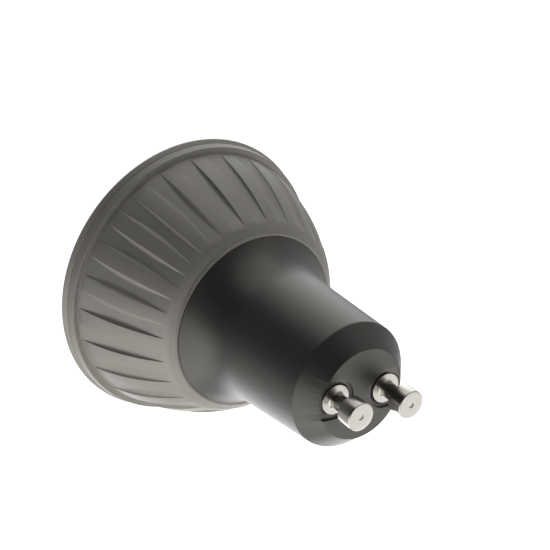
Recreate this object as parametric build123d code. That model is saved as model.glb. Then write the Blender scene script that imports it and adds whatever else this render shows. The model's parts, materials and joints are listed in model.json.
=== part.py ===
from build123d import *
from math import sin, pi, sqrt
import os

# A GU10 reflector-shaped LED lamp: a cast metal head with crowned pads round its bowed body,
# a moulded neck, and two turned contact pins. Millimetres.
# Z is the lamp's axis. z = 0 is the front face, on which the lamp stands with its pins up.
# The two pins lie on the X axis.

# Overall sizes
rim_r = 25.0                # widest radius, on the front bezel
overall_h = 57.0            # front face to the ends of the pins
pin_stand = 6.1             # how far the pins stand out of the end face
pin_pitch = 10.0            # distance between the pins' axes

# Fits
face_gap = 0.05             # the joint line between bezel and head
slide_fit = 0.05            # clearance of one piece inside another
loose_fit = 0.2             # clearance where nothing has to guide
rooting = 0.1               # how deep a boss starts inside the wall it grows from

# Front bezel
bezel_lip_t = 1.2           # the lip over the lens
bezel_lip_w = 3.1           # how far the lip reaches in from the widest radius
bezel_h = 2.3
bezel_belt_z = 1.5          # top of the narrow straight wall at the widest radius
bezel_belt_h = 0.2
bezel_bevel_w = 1.4         # below the belt a bevel runs in to the front face
bezel_taper = 0.3           # above the belt the wall leans in by this much
bezel_wall_t = 1.5          # its wall outside the head's spigot

# Body of the head, a bowed cone between the flange and the lip
flange_inset = 0.3          # foot of the flange, inside the widest radius
flange_taper = 0.35
flange_h = 1.55
body_inset = 0.9            # foot of the body, inside the top of the flange
body_h = 16.8
body_bow = 0.52             # how far the body's side bows out of a straight cone
back_w = 1.3                # from the body's upper edge the back runs in to the lip
back_h = 0.75
lip_bore_r = 15.2
lip_w = 0.43                # the lip round the neck
lip_h = 0.4
lip_radius = 0.25
spigot_wall_t = 0.75        # the bezel is pressed over the spigot, the lens lies in it
lens_ledge_w = 0.6
head_wall_t = 2.0           # thickness of the cast wall, measured level

# Pads
pad_count = 24
pad_deg = 7.5               # width of one pad
pad_start_deg = 2.5         # where the first pad begins, from the line of the pins
pad_land_h = 0.35           # plain body between the flange and a pad
pad_blunt = 0.02            # a pad's rim end stands this far out of the body
pad_bow = 0.96              # rise of its crown above the line between its ends
pad_dip = 0.03              # its other end dives this far below the body's upper edge
pad_root = 0.6              # how deep a pad is rooted in the wall

# Floor of the head
floor_z = 14.5              # the side that carries the LED board
floor_t = 2.5
ledge_depth = 0.95          # the neck sits on this ledge, below the lip
ledge_w = 1.0
wire_hole_r = 2.2

# Neck
chamfer_top_r = 7.78
chamfer_low_r = 10.81
chamfer_h = 3.63
neck_waist_r = 11.6         # where the straight taper meets the flare
flare_h = 8.5
neck_rise = 0.1             # the foot of the flare stands this far above the lip
neck_wall_t = 1.6
end_wall_t = 3.6
collar_wall_t = 1.4
collar_lift = 0.2           # the collar stops short of the floor

# Pockets round the pins
pocket_r = 3.25
pocket_depth = 0.42
seat_depth = 0.38           # the flange's seat, below the pocket's floor

# Contact pins
pin_head_r = 2.37
pin_head_h = 2.95
pin_head_bevel = 0.3
pin_head_edge = 0.12
pin_waist_r = 1.3
pin_waist_fillet = 0.3
pin_flange_r = 2.54
pin_flange_t = 0.6
pin_shank_r = 1.5
pin_rivet_r = 2.0
pin_rivet_t = 0.6
pin_tail_r = 0.8
pin_tail_h = 2.0
pin_dimple_r = 0.42
pin_dimple_depth = 0.15

# Lens plate
lens_flange_t = 1.5
cell_margin = 2.5           # from the outermost point of a cell to the ledge
cell_low_r = 4.2
cell_h = 8.9
cell_bulge = 0.9            # how far the collimator's side bows outwards
cell_well_r = 2.9
cell_well_depth = 3.4
leg_r = 0.8
leg_offset = 5.0

# LED board, its emitters and pad
thermal_pad_t = 0.3
led_board_t = 1.6
led_board_gap = 1.15        # from the board's edge to the wall beside it
led_count = 3
led_first_deg = 90.0
led_side = 3.5
led_base_t = 0.7
led_dome_r = 1.4

# Screws
board_screw_r = 1.0
board_screw_head_r = 1.9
board_screw_head_h = 1.2
board_screw_head_edge = 0.4
board_screw_bite = 2.0      # depth in the floor
board_screw_inset = 3.0     # from the LED board's edge
base_screw_count = 2
base_screw_r = 1.05
base_screw_head_r = 2.1
base_screw_offset = 9.6
base_screw_reach = 7.0      # depth in the neck's post
drive_slot_w = 0.4
drive_slot_share = 0.5      # length of the cross against the head
drive_slot_depth = 0.5
post_r = 2.2
post_h = 9.0
web_t = 1.0                 # joins each post to the collar

# Insulating disc
disc_t = 0.5

# Driver board and its slots. A drop is a distance down from the inside of the end wall.
driver_t = 1.2
driver_gap = 0.2            # from the board's corners to the wall
driver_face_y = -2.8        # the side that carries the tall parts
driver_lift = 3.0           # its lower edge above the insulating disc
slot_rib_t = 1.0
slot_grip = 0.9             # how far the ribs reach over the board
slot_start = 0.55           # the ribs begin this far above the waist

# Transformer
coil_drop = 18.6
coil_standoff = 3.9         # its axis above the board
core_half_len = 4.8
core_half_w = 4.0
core_half_depth = 2.0
core_leg_t = 1.4
core_mid_half = 1.0
bobbin_wall_t = 0.4
bobbin_flange_t = 0.5
bobbin_half_w = 2.4
bobbin_half_len = 3.2
winding_inset = 0.4         # the winding stays below the bobbin's flanges

# Choke
choke_x = -4.0
choke_drop = 11.2
choke_r = 2.9
choke_core_r = 1.3
choke_disc_t = 0.9
choke_h = 5.9
choke_winding_r = 2.5

# Smoothing capacitor
cap_x = 3.6
cap_r = 3.1
cap_h = 8.8
cap_groove_depth = 0.25
cap_groove_y = 1.4

# Film capacitor
film_half_w = 4.0
film_t = 4.0
film_h = 6.4
film_drop = 5.8
film_edge = 0.4

# Fusible resistor
resistor_drop = 2.2
resistor_r = 1.15
resistor_cap_r = 1.3
resistor_cap_len = 1.2
resistor_half_len = 3.2
resistor_lead_r = 0.3
resistor_lead_x = 3.9

# Flat parts on the back of the driver board: width, length, height, then x and drop
bridge_size = (4.6, 6.4, 2.2)
bridge_place = (-2.6, 6.3)
bridge_rows = 2             # pairs of leads
chip_size = (3.9, 4.9, 1.5)
chip_place = (2.6, 11.8)
chip_rows = 4
diode_size = (2.6, 4.3, 2.1)
diode_place = (-3.2, 12.2)
diode_rows = 1
lead_t = 0.3
lead_w = 0.5
lead_reach = 0.9

# Wires
wire_r = 0.55
supply_drop = 6.1
supply_bend_r = 2.4
led_wire_start = (2.4, 3.5)         # across and up from the driver board's lower edge
led_wire_out = 2.5                  # how far it stands off the driver board's back
led_wire_pair = 0.85                # half the distance between the two in the hole
led_wire_lift = 0.7                 # it crosses to the hole this far above the disc
led_wire_below = 1.6                # how far it loops out below the LED board
led_wire_land_x = 3.4
led_wire_bends = (1.6, 2.2, 2.2, 1.15, 1.15)

# Radii and heights of the head and bezel that follow from the sizes above
bezel_top_r = rim_r - bezel_taper
bezel_bore_r = rim_r - bezel_lip_w
spigot_r = rim_r - bezel_wall_t - slide_fit
lens_seat_r = spigot_r - spigot_wall_t
lens_ledge_r = lens_seat_r - lens_ledge_w
lens_top_z = bezel_lip_t + lens_flange_t
flange_low_r = rim_r - flange_inset
flange_top_r = flange_low_r - flange_taper
lip_r = lip_bore_r + lip_w
rear_bore_r = lip_bore_r - ledge_w
flange_z = bezel_h + face_gap
shoulder_z = flange_z + flange_h
body_top_z = shoulder_z + body_h
back_z = body_top_z + back_h
lip_z = back_z + lip_h
pad_low_z = shoulder_z + pad_land_h
body_low = Vector(flange_top_r - body_inset, shoulder_z)
body_high = Vector(lip_r + back_w, body_top_z)


def outwards(low, high):
    """The direction that points out of a side, square to the line between its ends."""
    return Vector(high.Y - low.Y, low.X - high.X).normalized()


def bowed(low, high, bow):
    """The arc between two points that stands out from their straight line by its bow."""
    return ThreePointArc(low, (low + high) / 2 + outwards(low, high) * bow, high)


def body_r(z):
    """Radius of the body's bowed side at height z."""
    half_len = (body_high - body_low).length / 2
    arc_r = (half_len ** 2 + body_bow ** 2) / (2 * body_bow)
    centre = (body_low + body_high) / 2 + outwards(body_low, body_high) * (body_bow - arc_r)
    return centre.X + sqrt(arc_r ** 2 - (z - centre.Y) ** 2)


floor_back_z = floor_z + floor_t
floor_bore_r = body_r(floor_z) - head_wall_t
ledge_z = lip_z - ledge_depth

# The neck and the pins
end_face_z = overall_h - pin_stand
neck_foot_r = lip_bore_r - slide_fit
neck_foot_z = lip_z + neck_rise
chamfer_z = end_face_z - chamfer_h
end_wall_z = end_face_z - end_wall_t
collar_r = rear_bore_r - loose_fit
collar_bore_r = collar_r - collar_wall_t
waist_z = neck_foot_z + flare_h
pocket_z = end_face_z - pocket_depth
pin_seat_z = pocket_z - seat_depth
pin_x = pin_pitch / 2

# The LED board, and the lens cells that touch each other round the axis
led_board_z = floor_z - thermal_pad_t - led_board_t
led_board_r = floor_bore_r - led_board_gap
board_screw_offset = led_board_r - board_screw_inset
screw_first_deg = led_first_deg + 180 / led_count
cell_share = sin(pi / led_count)
cell_offset = (lens_ledge_r - cell_margin) / (1 + cell_share)
cell_top_r = cell_offset * cell_share - slide_fit

# The driver board and what stands on it
disc_top_z = floor_back_z + disc_t
driver_back_y = driver_face_y - driver_t
driver_corner_r = chamfer_low_r - neck_wall_t - driver_gap
driver_half_w = sqrt(driver_corner_r ** 2 - driver_back_y ** 2)
driver_low_z = disc_top_z + driver_lift
slot_low_z = waist_z + slot_start
coil_z = end_wall_z - coil_drop
choke_z = end_wall_z - choke_drop
film_z = end_wall_z - film_drop
resistor_z = end_wall_z - resistor_drop
supply_turn_z = end_wall_z - supply_drop
led_wire_cross_z = disc_top_z + led_wire_lift


def turned(points, side=None, rounds=()):
    """A solid turned about Z from an outline of (radius, height) points.
    side is an arc that closes the outline, where it isn't closed by a straight line.
    rounds holds (point, radius) pairs for corners to be rounded."""
    outline = Polyline(*points, close=side is None)
    face = make_face([*outline.edges(), side] if side else outline)
    for corner, radius in rounds:
        vertex = face.vertices().sort_by_distance(Vector(*corner))[0]
        face = fillet(vertex, radius)
    return revolve(Plane.XZ * face, axis=Axis.Z)


def rod(radius, low, high, x=0.0, y=0.0):
    """An upright cylinder between two heights."""
    return Pos(x, y, (low + high) / 2) * Cylinder(radius, high - low)


def block(x_span, y_span, z_span):
    """A box between two corners."""
    low = [min(span) for span in (x_span, y_span, z_span)]
    size = [abs(span[1] - span[0]) for span in (x_span, y_span, z_span)]
    align = (Align.MIN, Align.MIN, Align.MIN)
    return Pos(*low) * Box(*size, align=align)


def stud(radius, low, high, x, z):
    """A cylinder that stands on the driver board, along Y."""
    return Pos(x, (low + high) / 2, z) * Rot(90, 0, 0) * Cylinder(radius, high - low)


def around(count, offset, first_deg=0.0):
    """Places on a circle, in order."""
    return PolarLocations(offset, count, start_angle=first_deg)


def one_pad():
    """A pad: an arc that stands out of the body, turned through the pad's own angle."""
    low = Vector(body_r(pad_low_z) + pad_blunt, pad_low_z)
    high = body_high - Vector(pad_dip, 0)
    out = outwards(low, high)
    root = Polyline(high, high - out * pad_root, low - out * pad_root, low)
    face = make_face([bowed(low, high, pad_bow), *root.edges()])
    return revolve(Plane.XZ * face, axis=Axis.Z, revolution_arc=pad_deg)


def heatsink_housing():
    """The cast head: flange, bowed body, lip, floor and 24 pads."""
    lip_edge = (lip_r, lip_z)
    body = turned([
        body_high,
        (lip_r, back_z),
        lip_edge,
        (lip_bore_r, lip_z),
        (lip_bore_r, ledge_z),
        (rear_bore_r, ledge_z),
        (rear_bore_r, floor_back_z),
        (wire_hole_r, floor_back_z),
        (wire_hole_r, floor_z),
        (floor_bore_r, floor_z),
        (lens_ledge_r, lens_top_z),
        (lens_seat_r, lens_top_z),
        (lens_seat_r, bezel_lip_t),
        (spigot_r, bezel_lip_t),
        (spigot_r, flange_z),
        (flange_low_r, flange_z),
        (flange_top_r, shoulder_z),
        body_low,
    ], side=bowed(body_low, body_high, body_bow), rounds=[(lip_edge, lip_radius)])
    pad = Rot(0, 0, pad_start_deg) * one_pad()
    body += [Rot(0, 0, i * 360 / pad_count) * pad for i in range(pad_count)]
    tap_r = board_screw_r + slide_fit
    for place in around(led_count, board_screw_offset, screw_first_deg):
        body -= place * rod(tap_r, floor_z, floor_z + board_screw_bite + loose_fit)
    for place in around(base_screw_count, base_screw_offset):
        body -= place * rod(base_screw_r + slide_fit, floor_z, floor_back_z)
        body -= place * countersink(slide_fit)
    return body


def countersink(extra):
    """The cone under a flat screw head, from the floor inwards."""
    top_r = base_screw_head_r + extra
    low_r = base_screw_r + extra
    sink_h = base_screw_head_r - base_screw_r
    return Pos(0, 0, floor_z + sink_h / 2) * Cone(top_r, low_r, sink_h)


def front_bezel():
    """The ring pressed over the head's spigot, with a lip over the lens."""
    return turned([
        (bezel_bore_r, 0),
        (rim_r - bezel_bevel_w, 0),
        (rim_r, bezel_belt_z - bezel_belt_h),
        (rim_r, bezel_belt_z),
        (bezel_top_r, bezel_h),
        (spigot_r + slide_fit, bezel_h),
        (spigot_r + slide_fit, bezel_lip_t),
        (bezel_bore_r, bezel_lip_t),
    ])


def lens_cell():
    """One collimator: a bowed cone with a well for its emitter."""
    low_z = lens_top_z + cell_h
    side_mid = ((cell_top_r + cell_low_r) / 2 + cell_bulge, (lens_top_z + low_z) / 2)
    side = ThreePointArc((cell_top_r, lens_top_z), side_mid, (cell_low_r, low_z))
    rest = Polyline(
        (cell_low_r, low_z),
        (cell_well_r, low_z),
        (cell_well_r, low_z - cell_well_depth),
        (0, low_z - cell_well_depth),
        (0, lens_top_z - rooting),
        (cell_top_r, lens_top_z - rooting),
        (cell_top_r, lens_top_z),
    )
    return revolve(Plane.XZ * make_face([side, *rest.edges()]), axis=Axis.Z)


def lens_plate():
    """The clear front plate with its cells, and legs that locate it in the LED board."""
    body = rod(lens_seat_r - slide_fit, bezel_lip_t, lens_top_z)
    for place in around(led_count, cell_offset, led_first_deg):
        body += place * lens_cell()
    leg_end_z = led_board_z + led_board_t
    for place in around(led_count, leg_offset, screw_first_deg):
        body += place * rod(leg_r, lens_top_z - rooting, leg_end_z)
    return body


def led_board():
    body = rod(led_board_r, led_board_z, led_board_z + led_board_t)
    body -= rod(wire_hole_r, led_board_z, led_board_z + led_board_t)
    for place in around(led_count, leg_offset, screw_first_deg):
        body -= place * rod(leg_r + slide_fit, led_board_z, led_board_z + led_board_t)
    for place in around(led_count, board_screw_offset, screw_first_deg):
        body -= place * rod(board_screw_r + slide_fit, led_board_z, led_board_z + led_board_t)
    return body


def thermal_pad():
    low_z = led_board_z + led_board_t
    body = rod(led_board_r - loose_fit, low_z, floor_z) - rod(wire_hole_r, low_z, floor_z)
    for place in around(led_count, board_screw_offset, screw_first_deg):
        body -= place * rod(board_screw_r + slide_fit, low_z, floor_z)
    return body


def led():
    """An emitter: a square base and a clear dome, facing the front."""
    half = led_side / 2
    base_z = led_board_z - led_base_t
    base = block((-half, half), (-half, half), (base_z, led_board_z))
    dome = Pos(0, 0, base_z) * Sphere(led_dome_r, arc_size1=-90, arc_size2=0)
    return base + dome


def board_screw():
    """A pan head screw that holds the LED board down on the floor."""
    head_z = led_board_z - board_screw_head_h
    body = rod(board_screw_r, led_board_z, floor_z + board_screw_bite)
    head = rod(board_screw_head_r, head_z, led_board_z)
    head = fillet(head.edges().group_by(Axis.Z)[0], board_screw_head_edge)
    return body + head - drive_cross(head_z, board_screw_head_r)


def base_screw():
    """A flat head screw from the floor into a post of the neck."""
    body = rod(base_screw_r, floor_z, floor_back_z + base_screw_reach) + countersink(0)
    return body - drive_cross(floor_z, base_screw_head_r)


def drive_cross(face_z, head_r):
    """The cross recess in a screw's head."""
    half = drive_slot_w / 2
    arm = head_r * drive_slot_share
    deep = (face_z, face_z + drive_slot_depth)
    return block((-arm, arm), (-half, half), deep) + block((-half, half), (-arm, arm), deep)


def neck_outline():
    """Outline of the neck: bevel, straight taper, flare, collar and the hollow inside."""
    bevel = Line((0, end_face_z), (chamfer_top_r, end_face_z))
    slope = Line((chamfer_top_r, end_face_z), (chamfer_low_r, chamfer_z))
    taper = Line((chamfer_low_r, chamfer_z), (neck_waist_r, waist_z))
    flare = TangentArc((neck_waist_r, waist_z), (neck_foot_r, neck_foot_z), tangent=taper % 1)
    inside = Polyline(
        (neck_foot_r, neck_foot_z),
        (neck_foot_r, ledge_z),
        (collar_r, ledge_z),
        (collar_r, floor_back_z + collar_lift),
        (collar_bore_r, floor_back_z + collar_lift),
        (collar_bore_r, ledge_z),
        (neck_waist_r - neck_wall_t, waist_z),
        (chamfer_low_r - neck_wall_t, end_wall_z),
        (0, end_wall_z),
        (0, end_face_z),
    )
    return make_face([bevel, slope, taper, flare, *inside.edges()])


def board_slot(side):
    """Two ribs on the wall of the neck that hold one edge of the driver board."""
    grip_x = side * (driver_half_w - slot_grip)
    wall_x = side * (chamfer_low_r - neck_wall_t / 2)
    rib_levels = (slot_low_z, end_wall_z + neck_wall_t / 2)
    upper_y = driver_face_y + slide_fit
    lower_y = driver_back_y - slide_fit
    ribs = block((grip_x, wall_x), (upper_y, upper_y + slot_rib_t), rib_levels)
    return ribs + block((grip_x, wall_x), (lower_y - slot_rib_t, lower_y), rib_levels)


def neck_housing():
    """The moulded neck, with pockets for the pins, posts for the screws and board slots."""
    body = revolve(Plane.XZ * neck_outline(), axis=Axis.Z)
    envelope = rod(chamfer_low_r - neck_wall_t / 2, slot_low_z, end_wall_z + neck_wall_t / 2)
    pilot_r = base_screw_r + slide_fit
    pilot_end_z = floor_back_z + base_screw_reach + loose_fit
    web_span = (0, collar_bore_r + rooting - base_screw_offset)
    web_levels = (disc_top_z + loose_fit, ledge_z)
    for place in around(base_screw_count, base_screw_offset):
        body += place * rod(post_r, floor_back_z, floor_back_z + post_h)
        body += place * block(web_span, (-web_t / 2, web_t / 2), web_levels)
        body -= place * rod(pilot_r, floor_back_z, pilot_end_z)
    for side in (-1, 1):
        body += board_slot(side) & envelope
        x = side * pin_x
        above = end_face_z + pocket_depth
        body -= rod(pocket_r, pocket_z, above, x)
        body -= block((x, side * rim_r), (-pocket_r, pocket_r), (pocket_z, above))
        body -= rod(pin_flange_r + slide_fit, pin_seat_z, above, x)
        body -= rod(pin_shank_r + slide_fit, end_wall_z, above, x)
    return body


def contact_pin(side):
    """A turned pin: tail, rivet, shank, flange, waist and head with a centre mark."""
    flange_top_z = pin_seat_z + pin_flange_t
    head_z = overall_h - pin_head_h
    body = turned([
        (0, end_wall_z - pin_rivet_t - pin_tail_h),
        (pin_tail_r, end_wall_z - pin_rivet_t - pin_tail_h),
        (pin_tail_r, end_wall_z - pin_rivet_t),
        (pin_rivet_r, end_wall_z - pin_rivet_t),
        (pin_rivet_r, end_wall_z),
        (pin_shank_r, end_wall_z),
        (pin_shank_r, pin_seat_z),
        (pin_flange_r, pin_seat_z),
        (pin_flange_r, flange_top_z),
        (pin_waist_r, flange_top_z),
        (pin_waist_r, head_z),
        (pin_head_r - pin_head_bevel, head_z),
        (pin_head_r, head_z + pin_head_bevel),
        (pin_head_r, overall_h - pin_head_edge),
        (pin_head_r - pin_head_edge, overall_h),
        (pin_dimple_r, overall_h),
        (0, overall_h - pin_dimple_depth),
    ], rounds=[((pin_waist_r, flange_top_z), pin_waist_fillet)])
    return Pos(side * pin_x, 0, 0) * body


def insulating_disc():
    """A thin disc on the floor of the head, inside the neck's collar."""
    body = rod(collar_bore_r - loose_fit, floor_back_z, disc_top_z)
    body -= rod(wire_hole_r, floor_back_z, disc_top_z)
    for place in around(base_screw_count, base_screw_offset):
        body -= place * rod(post_r + loose_fit, floor_back_z, disc_top_z)
    return body


def driver_board():
    return block((-driver_half_w, driver_half_w), (driver_back_y, driver_face_y),
                 (driver_low_z, end_wall_z))


def transformer_core(side):
    """One E-shaped half of the core, its legs towards the middle."""
    coil_y = driver_face_y + coil_standoff
    depth = (coil_y - core_half_depth, coil_y + core_half_depth)
    web = (side * (core_half_len - core_leg_t), side * core_half_len)
    reach = (0, side * core_half_len)
    body = block(web, depth, (coil_z - core_half_w, coil_z + core_half_w))
    body += block(reach, depth, (coil_z - core_mid_half, coil_z + core_mid_half))
    for end in (-1, 1):
        leg = (coil_z + end * (core_half_w - core_leg_t), coil_z + end * core_half_w)
        body += block(reach, depth, leg)
    return body


def coil_block(half_len, half_depth, half_w):
    """A box about the transformer's own axis."""
    coil_y = driver_face_y + coil_standoff
    return block((-half_len, half_len), (coil_y - half_depth, coil_y + half_depth),
                 (coil_z - half_w, coil_z + half_w))


def transformer_bobbin():
    hole_depth = core_half_depth + slide_fit
    hole_w = core_mid_half + slide_fit
    inner_len = bobbin_half_len - bobbin_flange_t
    body = coil_block(bobbin_half_len, coil_standoff, bobbin_half_w)
    body -= coil_block(inner_len, coil_standoff, bobbin_half_w)
    body += coil_block(inner_len, hole_depth + bobbin_wall_t, hole_w + bobbin_wall_t)
    return body - coil_block(bobbin_half_len, hole_depth, hole_w)


def transformer_winding():
    inner_len = bobbin_half_len - bobbin_flange_t
    tube_depth = core_half_depth + slide_fit + bobbin_wall_t
    tube_w = core_mid_half + slide_fit + bobbin_wall_t
    outer = coil_block(inner_len, coil_standoff - winding_inset, bobbin_half_w - winding_inset)
    outer = fillet(outer.edges().filter_by(Axis.X), winding_inset)
    return outer - coil_block(inner_len, tube_depth, tube_w)


def choke_core():
    top_y = driver_face_y + choke_h
    body = stud(choke_core_r, driver_face_y, top_y, choke_x, choke_z)
    body += stud(choke_r, driver_face_y, driver_face_y + choke_disc_t, choke_x, choke_z)
    return body + stud(choke_r, top_y - choke_disc_t, top_y, choke_x, choke_z)


def choke_winding():
    low = driver_face_y + choke_disc_t
    high = driver_face_y + choke_h - choke_disc_t
    return stud(choke_winding_r, low, high, choke_x, choke_z) - stud(
        choke_core_r, low, high, choke_x, choke_z)


def smoothing_capacitor():
    """An electrolytic can with the rolled groove near its foot."""
    top_y = driver_face_y + cap_h
    groove_y = driver_face_y + cap_groove_y
    body = stud(cap_r, driver_face_y, top_y, cap_x, choke_z)
    groove = Pos(cap_x, groove_y, choke_z) * Rot(90, 0, 0) * Torus(cap_r, cap_groove_depth)
    return body - groove


def film_capacitor():
    half_t = film_t / 2
    body = block((-film_half_w, film_half_w), (driver_face_y, driver_face_y + film_h),
                 (film_z - half_t, film_z + half_t))
    return fillet(body.edges().filter_by(Axis.Y), film_edge)


def fusible_resistor():
    """An axial body with end caps, and two leads bent down to the board."""
    axis_y = driver_face_y + resistor_cap_r

    def across(radius, x_from, x_to):
        middle = Pos((x_from + x_to) / 2, axis_y, resistor_z)
        return middle * Rot(0, 90, 0) * Cylinder(radius, abs(x_to - x_from))

    body = across(resistor_r, -resistor_half_len, resistor_half_len)
    for side in (-1, 1):
        cap_start = side * (resistor_half_len - resistor_cap_len)
        body += across(resistor_cap_r, cap_start, side * resistor_half_len)
        body += across(resistor_lead_r, cap_start, side * resistor_lead_x)
        lead_x = side * resistor_lead_x
        body += stud(resistor_lead_r, driver_face_y, axis_y, lead_x, resistor_z)
        body += Pos(lead_x, axis_y, resistor_z) * Sphere(resistor_lead_r)
    return body


def flat_part(size, place, lead_rows):
    """A moulded part on the back of the driver board, with flat leads on two sides."""
    width, length, height = size
    x, drop = place
    z = end_wall_z - drop
    body = block((x - width / 2, x + width / 2), (driver_back_y - height, driver_back_y),
                 (z - length / 2, z + length / 2))
    pitch = length / lead_rows
    for row in range(lead_rows):
        lead_z = z + (row - (lead_rows - 1) / 2) * pitch
        reach = width / 2 + lead_reach
        body += block((x - reach, x + reach), (driver_back_y - lead_t, driver_back_y),
                      (lead_z - lead_w / 2, lead_z + lead_w / 2))
    return body


def wire(points, bends):
    """A round wire along straight runs joined by arcs."""
    path = FilletPolyline(*points, radius=list(bends))
    start = Plane(origin=path @ 0, z_dir=path % 0)
    return sweep(start * Circle(wire_r), path=path)


def supply_wire(side):
    """From the tail of a pin to the driver board."""
    tail_z = end_wall_z - pin_rivet_t - pin_tail_h
    x = side * pin_x
    route = [(x, 0, tail_z), (x, 0, supply_turn_z), (x, driver_face_y, supply_turn_z)]
    return wire(route, [supply_bend_r])


def led_wire(side):
    """From the back of the driver board, through the floor, to the LED board's front."""
    start_x, start_up = led_wire_start
    start_z = driver_low_z + start_up
    out_y = driver_back_y - led_wire_out
    loop_z = led_board_z - led_wire_below
    route = [
        (side * start_x, driver_back_y, start_z),
        (side * start_x, out_y, start_z),
        (side * start_x, out_y, led_wire_cross_z),
        (side * led_wire_pair, 0, led_wire_cross_z),
        (side * led_wire_pair, 0, loop_z),
        (side * led_wire_land_x, 0, loop_z),
        (side * led_wire_land_x, 0, led_board_z),
    ]
    return wire(route, led_wire_bends)


pieces = {
    "heatsink_housing": heatsink_housing(),
    "front_bezel": front_bezel(),
    "lens_plate": lens_plate(),
    "led_board": led_board(),
    "thermal_pad": thermal_pad(),
    "led_board_screws": Compound([
        place * board_screw() for place in around(led_count, board_screw_offset, screw_first_deg)
    ]),
    "base_screws": Compound([
        place * base_screw() for place in around(base_screw_count, base_screw_offset)
    ]),
    "neck_housing": neck_housing(),
    "contact_pin_left": contact_pin(-1),
    "contact_pin_right": contact_pin(1),
    "insulating_disc": insulating_disc(),
    "driver_board": driver_board(),
    "transformer_core_left": transformer_core(-1),
    "transformer_core_right": transformer_core(1),
    "transformer_bobbin": transformer_bobbin(),
    "transformer_winding": transformer_winding(),
    "choke_core": choke_core(),
    "choke_winding": choke_winding(),
    "smoothing_capacitor": smoothing_capacitor(),
    "film_capacitor": film_capacitor(),
    "fusible_resistor": fusible_resistor(),
    "bridge_rectifier": flat_part(bridge_size, bridge_place, bridge_rows),
    "driver_chip": flat_part(chip_size, chip_place, chip_rows),
    "output_diode": flat_part(diode_size, diode_place, diode_rows),
    "supply_wire_left": supply_wire(-1),
    "supply_wire_right": supply_wire(1),
    "led_wire_plus": led_wire(1),
    "led_wire_minus": led_wire(-1),
}
for number, place in enumerate(around(led_count, cell_offset, led_first_deg), start=1):
    pieces[f"led_{number}"] = place * led()

os.makedirs("parts", exist_ok=True)
for name, shape in pieces.items():
    export_step(shape, f"parts/{name}.step")
print("pieces", len(pieces))
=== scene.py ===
# %% [markdown]
# # A spotlight bulb with two contact pins
#
# The lamp stands on its front, pins up. What shows is a cast and painted metal head with 24
# crowned pads, a ring pressed on round the front, a black moulded neck and two turned pins.
# The CAD model already holds every size, so it is loaded first and nothing in it is moved.
# These five pieces are then worked out again as fine surfaces with rounded edges, and every
# other part keeps its CAD mesh and gets a finish of its own.

# %% Load the fixed frame
import json
import math

import bmesh
import bpy
import numpy as np
from mathutils import Matrix, Vector

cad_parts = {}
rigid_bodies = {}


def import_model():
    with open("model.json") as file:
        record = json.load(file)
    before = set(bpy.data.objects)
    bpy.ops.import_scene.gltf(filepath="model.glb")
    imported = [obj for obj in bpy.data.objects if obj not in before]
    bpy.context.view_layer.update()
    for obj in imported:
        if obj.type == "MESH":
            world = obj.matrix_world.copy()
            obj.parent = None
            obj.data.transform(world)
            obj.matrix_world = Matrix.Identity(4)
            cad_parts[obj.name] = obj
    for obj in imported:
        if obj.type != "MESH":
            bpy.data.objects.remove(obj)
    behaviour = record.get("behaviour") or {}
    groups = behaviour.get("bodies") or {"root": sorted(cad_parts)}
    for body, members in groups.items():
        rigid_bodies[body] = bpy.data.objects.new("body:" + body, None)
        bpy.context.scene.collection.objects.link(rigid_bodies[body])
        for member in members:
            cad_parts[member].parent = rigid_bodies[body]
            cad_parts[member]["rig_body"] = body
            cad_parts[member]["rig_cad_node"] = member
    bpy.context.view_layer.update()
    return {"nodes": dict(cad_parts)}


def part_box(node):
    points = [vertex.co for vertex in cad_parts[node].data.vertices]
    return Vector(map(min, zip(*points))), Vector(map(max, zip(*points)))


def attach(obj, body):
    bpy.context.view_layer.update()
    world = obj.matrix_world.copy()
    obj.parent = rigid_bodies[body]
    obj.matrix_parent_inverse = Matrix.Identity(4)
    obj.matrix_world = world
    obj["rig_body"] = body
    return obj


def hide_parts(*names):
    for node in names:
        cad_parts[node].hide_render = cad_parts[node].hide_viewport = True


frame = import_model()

MM = 0.001

# %% [markdown]
# ## Measures taken from the frame
#
# A piece fits the CAD only if it starts from the CAD's own sizes. Each node's box gives its
# reach in millimetres, and from a few of these reaches the others follow. This keeps the
# surfaces below in step with the CAD when the lamp is packed at another size.


# %% Read the boxes of the main nodes
def span(name):
    """Lowest and highest corner of a CAD node, in mm."""
    low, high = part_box(name)
    return np.array(low) / MM, np.array(high) / MM


rim_r = span("front_bezel")[1][0]
bezel_top_z = span("front_bezel")[1][2]
flange_r = span("heatsink_housing")[1][0]
head_low_z, lip_z = (corner[2] for corner in span("heatsink_housing"))
neck_foot_r = span("neck_housing")[1][0]
floor_back_z, end_face_z = (corner[2] for corner in span("neck_housing"))
pin_low_z, pin_top_z = (corner[2] for corner in span("contact_pin_right"))
pin_x = (span("contact_pin_right")[0][0] + span("contact_pin_right")[1][0]) / 2
flange_pin_r = span("contact_pin_right")[1][0] - pin_x
print(f"rim {rim_r:.2f}, lip at {lip_z:.2f}, end face at {end_face_z:.2f}, pins at {pin_x:.2f}")

# %% [markdown]
# ## Surfaces from outlines
#
# Nearly everything on a lamp is turned about an axis, so one outline of radius and height
# gives a whole piece. It could be made with a Screw modifier, but a grid of points worked out
# with numpy also lets the pads swell out of the same surface. Sharp corners look wrong
# because real ones always catch a line of light, so each corner carries an arc.


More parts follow.
